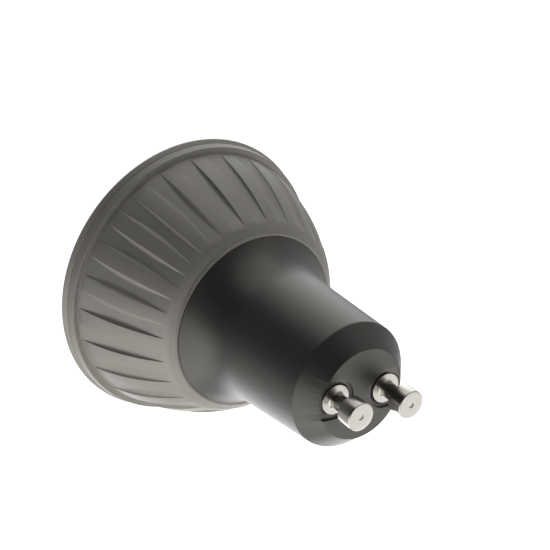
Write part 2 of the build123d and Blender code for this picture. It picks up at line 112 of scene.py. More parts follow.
# %% An outline with arcs at its corners
def rounded(corners, steps=5):
    """Points of an outline whose corners are (radius, height, rounding). Each arc touches
    both sides of its corner: with half the corner's angle h, it starts rounding / tan(h)
    from the corner and turns about a centre that lies rounding / sin(h) inside it."""
    points = []
    for i, (radius, height, rounding) in enumerate(corners):
        here = np.array([radius, height])
        if rounding == 0:
            points.append(here[None])
            continue
        back = np.array(corners[i - 1][:2]) - here
        ahead = np.array(corners[(i + 1) % len(corners)][:2]) - here
        back = back / np.linalg.norm(back)
        ahead = ahead / np.linalg.norm(ahead)
        half = np.arccos(back @ ahead) / 2
        inwards = (back + ahead) / np.linalg.norm(back + ahead)
        centre = here + inwards * rounding / np.sin(half)
        start = here + back * rounding / np.tan(half) - centre
        end = here + ahead * rounding / np.tan(half) - centre
        sweep = np.pi - 2 * half
        share = np.linspace(0, 1, steps + 1)[:, None]
        arc = np.sin((1 - share) * sweep) * start + np.sin(share * sweep) * end
        points.append(centre + arc / np.sin(sweep))
    return np.concatenate(points)


# %% A mesh from a grid of points
MERGE = 0.001               # mm, below the smallest step of any arc


def close(mesh):
    """Merges points that fall on one another and turns every face outwards."""
    shape = bmesh.new()
    shape.from_mesh(mesh)
    bmesh.ops.remove_doubles(shape, verts=shape.verts, dist=MERGE * MM)
    bmesh.ops.recalc_face_normals(shape, faces=shape.faces)
    shape.to_mesh(mesh)
    shape.free()


def surface(name, points, ring=True):
    """Joins points[row, turn] in mm: each point to the next of its row, which closes on
    itself, and to the next of its column, which closes too where ring is true."""
    rows, turns = points.shape[:2]
    here = np.arange(rows * turns).reshape(rows, turns)
    ahead = np.roll(here, -1, axis=1)
    quads = np.stack([here, ahead, np.roll(ahead, -1, axis=0), np.roll(here, -1, axis=0)], -1)
    quads = quads if ring else quads[:-1]
    mesh = bpy.data.meshes.new(name)
    mesh.from_pydata(points.reshape(-1, 3) * MM, [], quads.reshape(-1, 4))
    close(mesh)
    piece = bpy.data.objects.new(name, mesh)
    bpy.context.collection.objects.link(piece)
    return piece


def turned(name, outline, turns, centre=(0.0, 0.0), ring=True):
    """An outline turned about an upright axis: x and y are the centre's plus the radius
    times the cosine and sine of the angle, and z is the outline's height."""
    angle = np.linspace(0, 2 * np.pi, turns, endpoint=False)
    radius, height = outline[:, :1], outline[:, 1:]
    x = centre[0] + radius * np.cos(angle)
    y = centre[1] + radius * np.sin(angle)
    return surface(name, np.stack([x, y, height + 0 * angle], -1), ring)


# %% Cuts, and the last steps that every piece shares
CREASE = 38.0               # degrees: edges that turn more stay sharp in the shading


def carve(piece, tool, operation="DIFFERENCE"):
    """Cuts a piece with a tool, keeps the result as the piece's mesh and drops the tool."""
    cut = piece.modifiers.new("cut", "BOOLEAN")
    cut.object = tool
    cut.operation = operation
    cut.solver = "EXACT"
    graph = bpy.context.evaluated_depsgraph_get()
    result = bpy.data.meshes.new_from_object(piece.evaluated_get(graph))
    piece.modifiers.remove(cut)
    piece.data = result
    bpy.data.objects.remove(tool)


def settle(piece, node_name, finish):
    """Smooth shading with true flats, the finish, and the piece's place in the frame."""
    mesh = piece.data
    mesh.polygons.foreach_set("use_smooth", np.ones(len(mesh.polygons), bool))
    mesh.set_sharp_from_angle(angle=math.radians(CREASE))
    weights = piece.modifiers.new("weighted normals", "WEIGHTED_NORMAL")
    weights.keep_sharp = True
    mesh.materials.clear()
    mesh.materials.append(finish)
    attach(piece, "root")
    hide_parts(node_name)
    mesh.calc_loop_triangles()
    print(piece.name, "triangles:", len(mesh.loop_triangles))


# %% [markdown]
# ## Finishes
#
# A finish is a shader with the colour, gloss and fine relief of the real surface. Colours are
# written as sRGB hex codes, the way a paint chart gives them, and one function turns them to
# the linear numbers that a shader takes. Patterns read the object's own coordinates, so they
# stay on the piece, and their scales come from real sizes in millimetres.


# %% Helpers for finishes
def linear(code):
    """An sRGB hex colour as linear RGBA: dark values are divided by 12.92, the others follow
    the power curve."""
    share = np.array([int(code[i:i + 2], 16) for i in (1, 3, 5)]) / 255
    colour = np.where(share > 0.04045, ((share + 0.055) / 1.055) ** 2.4, share / 12.92)
    return (*colour.tolist(), 1.0)


def node(tree, kind, inputs=None, **settings):
    """Adds a node. inputs gives each socket a value, or another node's output to link."""
    made = tree.nodes.new(kind)
    for key, value in settings.items():
        setattr(made, key, value)
    for key, value in (inputs or {}).items():
        if isinstance(value, bpy.types.NodeSocket):
            tree.links.new(value, made.inputs[key])
        else:
            made.inputs[key].default_value = value
    return made


def blank(name):
    """A material with an empty tree, and the object's own coordinates as a first output."""
    made = bpy.data.materials.new(name)
    made.use_nodes = True
    tree = made.node_tree
    tree.nodes.clear()
    return made, tree, node(tree, "ShaderNodeTexCoord").outputs["Object"]


def per_metre(size):
    """Texture scale of a pattern whose grains are so many millimetres apart."""
    return 1 / (size * MM)


def relief(tree, place, grain, depth, detail=2.0):
    """A bump of soft noise: grain is its size and depth its height, both in mm."""
    noise = node(tree, "ShaderNodeTexNoise",
                 {"Vector": place, "Scale": per_metre(grain), "Detail": detail})
    return node(tree, "ShaderNodeBump",
                {"Height": noise.outputs[0], "Strength": 1.0, "Distance": depth * MM})


def plain_finish(name, colour, roughness, grain, depth, **more):
    """An even finish of one colour over a fine relief; more holds other shader sockets."""
    made, tree, place = blank(name)
    bump = relief(tree, place, grain, depth)
    sockets = {"Base Color": linear(colour), "Roughness": roughness,
               "Normal": bump.outputs[0]}
    sockets.update({key.replace("_", " "): value for key, value in more.items()})
    shader = node(tree, "ShaderNodeBsdfPrincipled", sockets)
    node(tree, "ShaderNodeOutputMaterial", {"Surface": shader.outputs[0]})
    return made


# %% [markdown]
# ## The paint on the head and the ring
#
# Both are cast or pressed aluminium under a matt grey stoving paint with fine metal flakes in
# it. The paint lies in a very fine pebbled skin, which spreads every highlight into a soft
# sheen, and its grey is a little warm. A car paint with a clear coat would be far too bright,
# so this is one rough layer, and a third of it answers as metal does, for the flakes. The
# pebbles are about 0.3 mm apart and only microns high.

# %% Grey stoving paint
COLOUR_A, COLOUR_B, COLOUR_OUT = 6, 7, 2    # sockets of a colour Mix node, by number
MOTTLE_SIZE = 2.5           # mm
PEBBLE_SIZE = 0.3
PEBBLE_HEIGHT = 0.006


def stoving_paint():
    """Warm grey with faint mottling, rough enough to spread a highlight."""
    made, tree, place = blank("matt grey stoving paint")
    mottle = node(tree, "ShaderNodeTexNoise",
                  {"Vector": place, "Scale": per_metre(MOTTLE_SIZE), "Detail": 3.0})
    colour = node(tree, "ShaderNodeMix", {
        0: mottle.outputs[0],
        COLOUR_A: linear("#83807a"),
        COLOUR_B: linear("#8c8982"),
    }, data_type="RGBA")
    bump = relief(tree, place, PEBBLE_SIZE, PEBBLE_HEIGHT, 3.0)
    shader = node(tree, "ShaderNodeBsdfPrincipled", {
        "Base Color": colour.outputs[COLOUR_OUT],
        "Metallic": 0.32,
        "Roughness": 0.5,
        "Normal": bump.outputs[0],
    })
    node(tree, "ShaderNodeOutputMaterial", {"Surface": shader.outputs[0]})
    return made


grey_paint = stoving_paint()
print("finish:", grey_paint.name)

# %% [markdown]
# ## The cast head
#
# The head is a die casting: a flange, a bowed body with 24 raised pads, a small lip round the
# neck, and a floor inside. The pads are what the eye goes to. Each is an arc that bows more
# than the body below it, so it stands out most at the middle and dies away at both ends. Its
# sides leave a crisp edge and run out into the valley as a cove, as a ball cutter does. They
# could be 24 objects joined to a cone, but a casting has no seams, so here the body's own
# points are pushed out square to its surface, by columns that follow the edge and the cove.
# The bow of the body and the width of the pads were fitted to the photograph once more here,
# and differ from the CAD by one or two tenths of a millimetre.

# %% Sizes of the head
joint_gap = 0.05            # mm, as all sizes here: between the head and the ring
wall_t = 2.0                # wall of the casting, measured level

spigot_r = rim_r - 1.55
lens_seat_r = spigot_r - 0.75
lens_ledge_r = lens_seat_r - 0.6
lens_top_z = head_low_z + 1.5
flange_z = bezel_top_z + joint_gap
flange_foot_r = flange_r - 0.15
shoulder_z = flange_z + 1.55
shoulder_r = flange_r - 0.35
lip_bore_r = neck_foot_r + 0.01
lip_r = neck_foot_r + 0.48
back_z = lip_z - 0.4
rear_bore_r = lip_bore_r - 1.0
ledge_z = lip_z - 0.95
floor_z = floor_back_z - 2.5
wire_hole_r = 2.2
body_low = np.array([shoulder_r - 0.9, shoulder_z])
body_high = np.array([lip_r + 1.3, back_z - 0.75])
body_bow = 0.40             # how far the body's side stands out from a straight line
back_round = 2.4            # the wide rounding from the body to its back

pad_count = 24
pad_deg = 7.0               # across the flat top, between its edges
pad_middle_deg = 6.4        # the first pad, from the line of the pins
pad_low_z = shoulder_z + 0.35
pad_bow = 0.96              # how far a pad's arc stands out from a straight line
pad_blunt = 0.02            # its lower end stands this far out of the body
pad_dip = 0.03              # its upper end dives this far under the body's edge
cove_turn = math.radians(64)        # how steeply the wall falls between edge and cove
edge_r = 0.14               # radius of a pad's edge
edge_share = 0.4            # where a pad is low, the edge gets this share of both radii
least_rise = 0.08           # keeps the wall's columns apart where a pad has no height
print(f"{pad_count} pads on a body from {body_low.round(2)} to {body_high.round(2)}")


# %% The arcs of the body and the pads
def bowed(low, high, bow):
    """Centre and radius of the arc through two points that stands out by bow from their
    straight line: with half the line h, the radius is (h * h + bow * bow) / (2 * bow)."""
    line = high - low
    half = np.linalg.norm(line) / 2
    radius = (half ** 2 + bow ** 2) / (2 * bow)
    out = np.array([line[1], -line[0]]) / (2 * half)
    return (low + high) / 2 + out * (bow - radius), radius


body_centre, body_arc_r = bowed(body_low, body_high, body_bow)


def body_radius(height):
    """Distance of the body's side from the axis, on its arc at this height."""
    return body_centre[0] + np.sqrt(body_arc_r ** 2 - (height - body_centre[1]) ** 2)


pad_low = np.array([body_radius(pad_low_z) + pad_blunt, pad_low_z])
pad_centre, pad_arc_r = bowed(pad_low, body_high - [pad_dip, 0], pad_bow)
floor_bore_r = body_radius(floor_z) - wall_t
print(f"arcs in mm: body {body_arc_r:.1f}, pads {pad_arc_r:.1f}")


def pad_rise(points):
    """How far a pad stands out over points of the body, square to the body's arc: the step
    that takes a point to the pad's arc, and nothing before the pad begins."""
    out = (points - body_centre) / body_arc_r
    offset = points - pad_centre
    along = (offset * out).sum(-1)
    rise = np.sqrt(along ** 2 - (offset ** 2).sum(-1) + pad_arc_r ** 2) - along
    return np.where(points[:, 1] < pad_low_z, 0, np.maximum(rise, 0))


def pad_wall(rise, edge_steps=4, cove_steps=7):
    """The wall of a pad: distances across and shares of its height for each rise. An arc of
    edge_r turns down by cove_turn and a larger arc turns back to the valley's slope. Their
    radii together are the rise over 1 - cos(cove_turn)."""
    both = np.maximum(rise, least_rise)[:, None] / (1 - math.cos(cove_turn))
    edge = np.minimum(edge_r, edge_share * both)
    down = np.linspace(0, cove_turn, edge_steps + 1)
    back = np.linspace(cove_turn, 0, cove_steps + 1)[1:]
    across_edge = edge * (np.sin(down) - math.tan(cove_turn / 2))
    across_cove = across_edge[:, -1:] + (both - edge) * (math.sin(cove_turn) - np.sin(back))
    full = both * (1 - math.cos(cove_turn))
    share_edge = 1 - edge * (1 - np.cos(down)) / full
    share_cove = (both - edge) * (1 - np.cos(back)) / full
    return np.hstack([across_edge, across_cove]), np.hstack([share_edge, share_cove])


# %% The head's surface
pad_rows = 42               # points along a pad
row_before = 0.05           # and one this far below its lower end
rows_stop = 0.8             # they end this far below the body's edge, where it rounds off
top_columns = 3             # between a pad's two edges
valley_columns = 2          # between two coves
arc_slack = 0.002           # points within this distance of the body's arc lie on it


def head_outline():
    """The section of the head without its pads, from the spigot's foot over the body and the
    lip to the floor, with extra points along the pads."""
    heights = np.linspace(pad_low_z, body_high[1] - rows_stop, pad_rows)
    rows = [(body_radius(z), z, 0) for z in [pad_low_z - row_before, *heights]]
    return rounded([
        (lens_seat_r, head_low_z, 0.1),
        (spigot_r, head_low_z, 0.15),
        (spigot_r, flange_z, 0),
        (flange_foot_r, flange_z, 0.05),
        (shoulder_r, shoulder_z, 0.15),
        (*body_low, 0.12),
        *rows,
        (*body_high, back_round),
        (lip_r, back_z, 0.15),
        (lip_r, lip_z, 0.15),
        (lip_bore_r, lip_z, 0.03),
        (lip_bore_r, ledge_z, 0),
        (rear_bore_r, ledge_z, 0.1),
        (rear_bore_r, floor_back_z, 0.1),
        (wire_hole_r, floor_back_z, 0.1),
        (wire_hole_r, floor_z, 0.1),
        (floor_bore_r, floor_z, 0.3),
        (lens_ledge_r, lens_top_z, 0.1),
        (lens_seat_r, lens_top_z, 0),
    ])


def head_surface():
    """Each outline point is turned through 24 equal shares, whose columns follow the pad's
    top, its two walls and the valley. Points of the body then move out, square to it, by the
    pad's rise times the column's share of height."""
    outline = head_outline()
    to_centre = np.linalg.norm(outline - body_centre, axis=1)
    on_body = np.abs(to_centre - body_arc_r) < arc_slack
    rise = np.zeros(len(outline))
    rise[on_body] = pad_rise(outline[on_body])
    across, share = pad_wall(rise)
    half_pad = math.radians(pad_deg) / 2
    half_share = math.pi / pad_count
    near_body = body_radius(np.clip(outline[:, 1], pad_low_z, body_high[1]))
    wall = half_pad + across / near_body[:, None]
    top = wall[:, :1] * np.linspace(-1, 1, top_columns + 2)[1:-1]
    between = np.linspace(0, 1, valley_columns + 2)[1:-1]
    valley = wall[:, -1:] + (2 * half_share - 2 * wall[:, -1:]) * between
    angle = np.hstack([-wall[:, ::-1], top, wall, valley])
    lift = np.hstack([share[:, ::-1], np.ones_like(top), share, np.zeros_like(valley)])
    lift = np.tile(lift * rise[:, None], (1, pad_count))[..., None]
    turn = math.radians(pad_middle_deg) + 2 * half_share * np.arange(pad_count)
    angle = (angle[:, None, :] + turn[None, :, None]).reshape(len(outline), -1)
    out = (outline - body_centre) / body_arc_r
    reach = outline[:, None, :] + lift * out[:, None, :]
    x, y = reach[..., 0] * np.cos(angle), reach[..., 0] * np.sin(angle)
    return surface("head", np.stack([x, y, reach[..., 1]], -1))


head = head_surface()
print("head vertices:", len(head.data.vertices))

# %% Screw holes in the head's floor
board_screw_offset = floor_bore_r - 4.15
base_screw_offset = 9.6
tap_r = 1.05
base_hole_r = 1.1
sink_r = 2.15
sink_depth = 1.05
tap_depth = 2.2
past = 0.5                  # how far a cutting tool starts outside the surface
hole_turns = 48
board_screws_at = (30, 150, 270)    # degrees from the line of the pins
base_screws_at = (0, 180)


def round_tool(profile, offset, degrees):
    """A turned cutting tool whose axis stands at a distance and an angle from the lamp's."""
    turn = math.radians(degrees)
    place = offset * np.array([math.cos(turn), math.sin(turn)])
    return turned("tool", rounded(profile), hole_turns, place, ring=False)


tapped = [
    (0, floor_z - past, 0),
    (tap_r, floor_z - past, 0),
    (tap_r, floor_z + tap_depth, 0),
    (0, floor_z + tap_depth, 0),
]
sunk = [
    (0, floor_z - past, 0),
    (sink_r + past, floor_z - past, 0),
    (base_hole_r, floor_z + sink_depth, 0),
    (base_hole_r, floor_back_z + past, 0),
    (0, floor_back_z + past, 0),
]
for degrees in board_screws_at:
    carve(head, round_tool(tapped, board_screw_offset, degrees))
for degrees in base_screws_at:
    carve(head, round_tool(sunk, base_screw_offset, degrees))
settle(head, "heatsink_housing", grey_paint)

# %% [markdown]
# ## The ring round the front
#
# The ring is pressed over the head's spigot and holds the lens. It has the same paint, and
# what shows is the fine dark line between it and the flange. One solid with a groove would
# end in a bright floor there, so the ring stays a piece of its own: its edges are rounded and
# the CAD's gap is kept. In front of its widest edge it falls away in a wide bevel.

# %% The pressed ring
ring_turns = 360
ring_lip_r = rim_r - 3.1    # the lip over the lens reaches in to here
ring_bevel_r = rim_r - 1.4
belt_low_z = 1.3            # the narrow upright belt at the widest radius
belt_top_z = 1.5
ring_bore_r = spigot_r + joint_gap

ring = turned("bezel_ring", rounded([
    (ring_lip_r, 0, 0.2),
    (ring_bevel_r, 0, 0.3),
    (rim_r, belt_low_z, 0.12),
    (rim_r, belt_top_z, 0.4),
    (flange_foot_r, bezel_top_z, 0.05),
    (ring_bore_r, bezel_top_z, 0.05),
    (ring_bore_r, head_low_z, 0),
    (ring_lip_r, head_low_z, 0.2),
]), ring_turns)
settle(ring, "front_bezel", grey_paint)

# %% [markdown]
# ## The moulded neck
#
# The neck is injection moulded in black plastic: a bevelled end with two pockets, a long
# straight taper and a flare that ends in the head's lip. Inside are ribs and posts that no
# outline can give, so a merged copy of the CAD mesh supplies them. A finely turned solid with
# rounded corners is laid over it and only what both share is kept: the solid is a hair
# smaller, so its smooth skin wins outside. The pockets are then cut again with a tool whose
# upper edge curls outwards, which leaves the small radius that a mould has there.

# %% Sizes of the neck
bevel_top_r = 7.78          # radius of the end face, before its edge is rounded
bevel_low_r = 10.81
bevel_z = end_face_z - 3.63
waist_r = 11.6              # where the straight taper meets the flare
flare_z = lip_z + 0.1
waist_z = flare_z + 8.5
hair = 0.02                 # the turned solid lies this far inside the CAD's surface
neck_turns = 360
pocket_r = 3.25
pocket_z = end_face_z - 0.42
print(f"taper from {bevel_z:.2f} down to {waist_z:.2f}, flare down to {flare_z:.2f}")


# %% The flare and the whole outline
def flare(steps=28):
    """Points of the arc that leaves the straight taper without a kink and ends at the
    flare's foot: its centre lies square to the taper, as far off as makes both ends fit."""
    start = np.array([waist_r, waist_z])
    end = np.array([neck_foot_r, flare_z])
    down = start - np.array([bevel_low_r, bevel_z])
    down = down / np.linalg.norm(down)
    out = np.array([-down[1], down[0]])
    chord = end - start
    bend_r = chord @ chord / (2 * chord @ out)
    centre = start + out * bend_r
    first = math.atan2(*(start - centre)[::-1])
    last = math.atan2(*(end - centre)[::-1])
    turn = np.linspace(0, (last - first + math.pi) % (2 * math.pi) - math.pi, steps)
    return centre + abs(bend_r) * np.stack([np.cos(first + turn), np.sin(first + turn)], -1)


neck_skin = rounded([
    (0, floor_back_z - past, 0),
    (neck_foot_r + past, floor_back_z - past, 0),
    (neck_foot_r + past, ledge_z - past, 0),
    (neck_foot_r - hair, ledge_z - past, 0),
    *[(radius - hair, height, 0) for radius, height in flare()[::-1]],
    (bevel_low_r - hair, bevel_z, 0.5),
    (bevel_top_r - hair, end_face_z - hair, 0.25),
    (0, end_face_z - hair, 0),
])
neck = frame["nodes"]["neck_housing"].copy()
neck.data = neck.data.copy()
neck.name = "neck"
for key in ("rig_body", "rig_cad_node"):      # the copy is no CAD node, so it drops their marks
    del neck[key]
neck.parent = None
bpy.context.collection.objects.link(neck)
close(neck.data)
carve(neck, turned("tool", neck_skin, neck_turns, ring=False), "INTERSECT")
print("neck faces:", len(neck.data.polygons))

# %% Pockets with a rolled edge
pocket_edge_r = 0.14
pocket_foot_r = 0.08
pocket_spare = 0.03         # the new wall lies this far outside the CAD's
pocket_far = rim_r          # the cutter runs out to here, past the neck's side
pocket_arc_points = 6       # on each small arc
pocket_loop_points = 73     # on the half circle about the pin


def pocket_tool(side):
    """A cutter over one pocket. Each loop is a half circle about the pin and two straight
    runs out to the side. Its offset from pocket_r follows a small arc at the foot, a straight
    wall and an arc at the rim that ends level with the end face."""
    turn = np.linspace(0, math.pi / 2, pocket_arc_points)
    face_z = end_face_z - hair
    low_z = pocket_z - hair
    foot = pocket_foot_r * np.stack([np.sin(turn) - 1, 1 - np.cos(turn)], -1)
    rim = pocket_edge_r * np.stack([1 - np.cos(turn), np.sin(turn) - 1], -1)
    rows = np.concatenate([foot + [pocket_spare, low_z], rim + [pocket_spare, face_z],
                           [[pocket_spare + pocket_edge_r, face_z + past]]])
    half_turn = np.linspace(-math.pi / 2, math.pi / 2, pocket_loop_points)
    width = pocket_r + rows[:, :1]
    x = np.hstack([pin_x - width * np.cos(half_turn), pocket_far + 0 * width,
                   pocket_far + 0 * width])
    y = np.hstack([width * np.sin(half_turn), width, -width])
    z = rows[:, 1:] + 0 * x
    loops = np.stack([side * x, y, z], -1)
    caps = loops[[0, -1]]
    caps[..., 0] = side * (pin_x + pocket_far) / 2
    caps[..., 1] = 0
    return surface("tool", np.concatenate([caps[:1], loops, caps[1:]]), ring=False)


for side in (-1, 1):
    carve(neck, pocket_tool(side))
print("neck faces with pockets:", len(neck.data.polygons))

# %% [markdown]
# ## The neck's plastic
#
# The neck is a black thermoplastic that stands the heat, moulded in a finely sparked tool. Such
# a skin is satin: it mirrors its surroundings softly, stronger at grazing angles, and shows no
# grain from a step away. A glossy black with a painted grain would mirror the lights too
# sharply, so the base is nearly black, the roughness is 0.4 and the relief is 0.01 mm deep.
# Filled plastics bend light strongly, so the index of refraction is 1.65.

# %% Black moulded plastic
# The faint warm Specular Tint is painted light: it stands in for the warm colour of the
# studio's light in the reflections.
neck_plastic = plain_finish("satin black moulded plastic", "#292827", 0.4, 0.3, 0.01,
                            IOR=1.65, Specular_Tint=linear("#fffaf1"))
settle(neck, "neck_housing", neck_plastic)

# %% [markdown]
# ## The contact pins
#
# The pins are turned from brass rod and nickel plated. A lathe leaves rings round the axis on
# every face it cuts across, and these rings fan the light of a turned face. Their pitch is a
# few hundredths of a millimetre, drawn here a little wider so that some of it shows. A bump
# picture would need a flat map of every face, so the rings are a wave about each pin's own
# axis, which a Mapping node moves to the middle.

# %% Turned and plated metal
ring_pitch = 0.16           # mm, from one ring to the next
ring_depth = 0.004
WAVE_PERIOD = 2 * math.pi / 20      # a ring wave repeats after this length at scale 1


def turned_metal(x):
    """Bright nickel with rings about an upright axis at x, both in mm."""
    made, tree, place = blank(f"turned nickel plated brass at {x:.0f}")
    centred = node(tree, "ShaderNodeMapping",
                   {"Vector": place, "Location": (-x * MM, 0, 0)})
    rings = node(tree, "ShaderNodeTexWave", {
        "Vector": centred.outputs[0],
        "Scale": per_metre(ring_pitch) * WAVE_PERIOD,
        "Distortion": 0.6,
        "Detail": 1.0,
    }, wave_type="RINGS", rings_direction="Z")
    bump = node(tree, "ShaderNodeBump",
                {"Height": rings.outputs[1], "Strength": 1.0, "Distance": ring_depth * MM})
    shader = node(tree, "ShaderNodeBsdfPrincipled", {
        "Base Color": linear("#b3b0aa"),
        "Metallic": 1.0,
        "Roughness": 0.24,
        "Normal": bump.outputs[0],
    })
    node(tree, "ShaderNodeOutputMaterial", {"Surface": shader.outputs[0]})
    return made


# %% Two turned pins
end_wall_z = end_face_z - 3.6       # inside of the neck's end wall
rivet_z = end_wall_z - 0.6
seat_z = pocket_z - 0.38
pin_flange_z = seat_z + 0.6
pin_head_z = pin_top_z - 2.95
tail_r = 0.8
rivet_r = 2.0
shank_r = 1.5
pin_waist_r = 1.3
pin_head_r = 2.37
pin_head_bevel = 0.15
dimple_r = 0.48
dimple_draft = 0.06         # its floor is smaller than its mouth by this
dimple_depth = 0.2
pin_turns = 128
pin_steps = 6               # points on each rounded corner

pin_outline = rounded([
    (0, pin_low_z, 0),
    (tail_r, pin_low_z, 0.15),
    (tail_r, rivet_z, 0),
    (rivet_r, rivet_z, 0.15),
    (rivet_r, end_wall_z, 0.05),
    (shank_r, end_wall_z, 0),
    (shank_r, seat_z, 0),
    (flange_pin_r, seat_z, 0.08),
    (flange_pin_r, pin_flange_z, 0.1),
    (pin_waist_r, pin_flange_z, 0.3),
    (pin_waist_r, pin_head_z, 0.1),
    (pin_head_r - pin_head_bevel, pin_head_z, 0.08),
    (pin_head_r, pin_head_z + pin_head_bevel, 0.1),
    (pin_head_r, pin_top_z, 0.2),
    (dimple_r, pin_top_z, 0.05),
    (dimple_r - dimple_draft, pin_top_z - dimple_depth, 0.04),
    (0, pin_top_z - dimple_depth, 0),
], pin_steps)
for side, name in ((-1, "left"), (1, "right")):
    pin = turned(f"pin_{name}", pin_outline, pin_turns, (side * pin_x, 0.0), ring=False)
    settle(pin, f"contact_pin_{name}", turned_metal(side * pin_x))

# %% [markdown]
# ## Lens, emitters and their board
#
# The front holds a clear moulded plate with three collimators over three emitters on a white
# board. Clear plastic is all refraction: it could be faked with a see-through mix, but then
# the collimators wouldn't gather light, so it has a transmission shader with the right index
# of refraction. Real ones carry small cells on the front that mix the light, here a relief
# of cells 0.9 mm apart. The emitters are yellow phosphor under clear silicone.

# %% Clear plastic
cell_size = 0.9             # mm
cell_depth = 0.12


def clear_plastic():
    """Clear acrylic with rounded mixing cells on its front."""
    made, tree, place = blank("clear moulded acrylic")
    cells = node(tree, "ShaderNodeTexVoronoi",
                 {"Vector": place, "Scale": per_metre(cell_size)}, feature="SMOOTH_F1")
    bump = node(tree, "ShaderNodeBump",
                {"Height": cells.outputs[0], "Strength": 1.0, "Distance": cell_depth * MM})
    bump.invert = True
    shader = node(tree, "ShaderNodeBsdfPrincipled", {
        "Base Color": linear("#f4f7f7"),
        "Roughness": 0.06,
        "IOR": 1.49,
        "Transmission Weight": 1.0,
        "Normal": bump.outputs[0],
    })
    node(tree, "ShaderNodeOutputMaterial", {"Surface": shader.outputs[0]})
    return made


# %% Clear plate, emitters and board
def dress(finish, slot, *names):
    """Gives CAD nodes a finish and prints it with the record's slot; their meshes stay as they
    are.
    """
    for name in names:
        part = frame["nodes"][name]
        part.data.materials.clear()
        part.data.materials.append(finish)
    print(f"{slot}: {finish.name} on {', '.join(names)}")


dress(clear_plastic(), "clear_plastic", "lens_plate")
# Silicone over phosphor: soft, glossy and yellow.
dress(plain_finish("silicone over phosphor", "#e8c44a", 0.2, 0.4, 0.005, IOR=1.41,
                   Coat_Weight=0.6),
      "emitter", "led_1", "led_2", "led_3")
# White solder resist on an aluminium board: even, bright and half matt.
dress(plain_finish("white solder resist", "#ebebe6", 0.4, 0.5, 0.004), "board_white",
      "led_board")
# Filled silicone: soft, dull and bluish grey.
dress(plain_finish("filled silicone pad", "#8d9298", 0.85, 0.2, 0.02), "pad_grey",
      "thermal_pad")

# %% [markdown]
# ## Screws and the driver inside the neck
#
# None of this shows while the lamp is closed, but anyone who takes it apart should know each
# part by its finish: plated screws, an amber disc, a green board, and on it grey ferrite,
# yellow tape, copper wire, a dark can, a red box capacitor and black moulded chips.

# %% Finishes of the hidden parts
hidden_finishes = [
    # Zinc plated steel: bluish and half bright.
    ("zinc plated steel", "#b9bcc0", 0.35, 0.15, 0.005, {"Metallic": 1.0}, "screw_steel",
     ["led_board_screws", "base_screws"]),
    # Thin amber sheet, slightly glossy from rolling.
    ("amber insulating sheet", "#b9803a", 0.35, 0.6, 0.006, {}, "disc_film",
     ["insulating_disc"]),
    # Solder resist on glass laminate: the weave makes it faintly uneven.
    ("green solder resist", "#155c33", 0.3, 0.5, 0.008, {"Coat_Weight": 0.3}, "board_green",
     ["driver_board"]),
    # Sintered and ground ferrite: dark, dense and dull.
    ("ground ferrite", "#3a3a3c", 0.6, 0.1, 0.01, {}, "ferrite",
     ["transformer_core_left", "transformer_core_right", "choke_core"]),
    # Moulded phenolic resin: black and dull.
    ("moulded phenolic", "#161616", 0.55, 0.2, 0.006, {}, "bobbin_black",
     ["transformer_bobbin"]),
    # Polyester tape wound in layers: glossy yellow with soft wrinkles.
    ("yellow polyester tape", "#e3c21f", 0.25, 0.8, 0.03, {"Coat_Weight": 0.4},
     "winding_tape", ["transformer_winding"]),
    # Enamelled wire: copper under a clear varnish.
    ("enamelled copper wire", "#b8642f", 0.3, 0.2, 0.03, {"Metallic": 1.0}, "choke_copper",
     ["choke_winding"]),
    # Shrunk sleeve over an aluminium can: dark blue and glossy.
    ("shrunk dark blue sleeve", "#16213f", 0.25, 0.8, 0.01, {}, "can_sleeve",
     ["smoothing_capacitor"]),
    # Moulded box filled with resin: red and smooth.
    ("red moulded box", "#8f221c", 0.35, 0.3, 0.005, {}, "film_box", ["film_capacitor"]),
    # Lacquer over a film: pale blue and glossy.
    ("blue lacquer", "#4c8f9b", 0.3, 0.3, 0.01, {"Coat_Weight": 0.4}, "resistor_coat",
     ["fusible_resistor"]),
    # Moulded epoxy: black with the fine grain of its filler.
    ("moulded epoxy", "#141414", 0.5, 0.1, 0.006, {}, "chip_black",
     ["bridge_rectifier", "driver_chip", "output_diode"]),
    # Silicone sleeves: soft and dull in three colours.
    ("white silicone sleeve", "#e6e4df", 0.6, 0.3, 0.01, {}, "wire_white",
     ["supply_wire_left", "supply_wire_right"]),
    ("red silicone sleeve", "#a51a15", 0.6, 0.3, 0.01, {}, "wire_red", ["led_wire_plus"]),
    ("black silicone sleeve", "#171717", 0.6, 0.3, 0.01, {}, "wire_black",
     ["led_wire_minus"]),
]
for name, colour, roughness, grain, depth, more, slot, names in hidden_finishes:
    dress(plain_finish(name, colour, roughness, grain, depth, **more), slot, *names)

# %% [markdown]
# ## Floor and studio light
#
# The photograph has a pure white background, and the lamp was lit by a few large soft lights
# round a dark camera side. That dark side is what draws the black band down the neck and the
# dark flanks of the pads. Area lamps could give the bright parts, but the dark side would
# need black screens beside them, and a world shader can hold all of it: an even light, two
# soft dark patches and six soft bright ones, each a disc about one direction with a smooth
# edge. The camera and a ray through the clear lens see the world as one even pale ground,
# while mirrored rays see the patches. The floor is there for the camera alone and takes the
# shadow; the lamp is lit from below by the same world.

# %% White floor for the camera
floor_glow = 0.9            # with the light that the paper scatters it reads as white
floor_size = 6.0            # metres


def white_floor():
    """Matt white paper that adds a glow, so that it reads as white outside the shadow."""
    made, tree, _ = blank("white paper floor")
    paper = node(tree, "ShaderNodeBsdfDiffuse", {"Color": linear("#e8e8e8")})
    glow = node(tree, "ShaderNodeEmission", {"Strength": floor_glow})
    both = node(tree, "ShaderNodeAddShader", {0: paper.outputs[0], 1: glow.outputs[0]})
    node(tree, "ShaderNodeOutputMaterial", {"Surface": both.outputs[0]})
    return made


